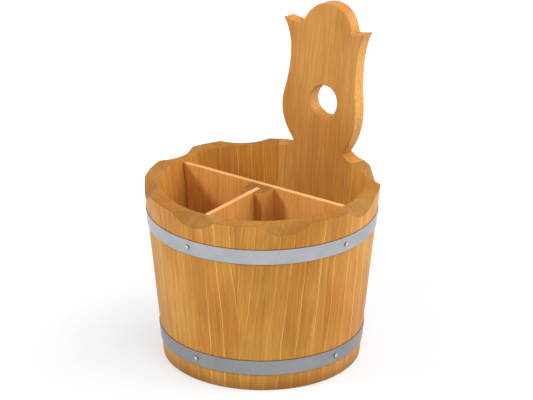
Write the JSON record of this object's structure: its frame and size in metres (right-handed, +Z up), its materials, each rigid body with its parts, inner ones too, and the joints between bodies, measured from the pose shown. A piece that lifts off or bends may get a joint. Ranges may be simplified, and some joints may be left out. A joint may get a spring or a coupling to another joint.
{
  "type": "utensil caddy",
  "caption": "Round tapered caddy of wooden staves in flat steel hoops, with a scooped rim, a tall pierced handle stave and a loose divider that parts the inside.",
  "frame": {"origin": "on the table plane, under the middle of the box that bounds the part", "axes": "+Z up, +Y towards the handle stave, +X to the right as seen from the front"},
  "size_m": [0.2182, 0.2331, 0.315],
  "materials": {
    "stave_wood": "oiled softwood, satin",
    "floor_wood": "oiled softwood, satin",
    "divider_wood": "oiled hardwood, satin",
    "hoop_steel": "rolled strip, dull",
    "nail_steel": "domed head, worn bright"
  },
  "bodies": {
    "tub": {"front_stave": "stave_wood", "right_front_stave": "stave_wood", "left_front_stave": "stave_wood", "right_back_stave": "stave_wood", "left_back_stave": "stave_wood", "right_flank_stave": "stave_wood", "left_flank_stave": "stave_wood", "handle_stave": "stave_wood", "floor_board": "floor_wood", "lower_hoop": "hoop_steel", "upper_hoop": "hoop_steel", "lower_hoop_nails": "nail_steel", "upper_hoop_nails": "nail_steel", "lower_lap_rivets": "nail_steel", "upper_lap_rivets": "nail_steel"},
    "divider": {"back_board": "divider_wood", "post": "divider_wood", "front_board": "divider_wood"}
  },
  "joints": [
    {"name": "divider_lift", "type": "slide", "parent": "tub", "child": "divider", "axis": [0, 0, 1], "range_m": [0, 0.16]}
  ]
}
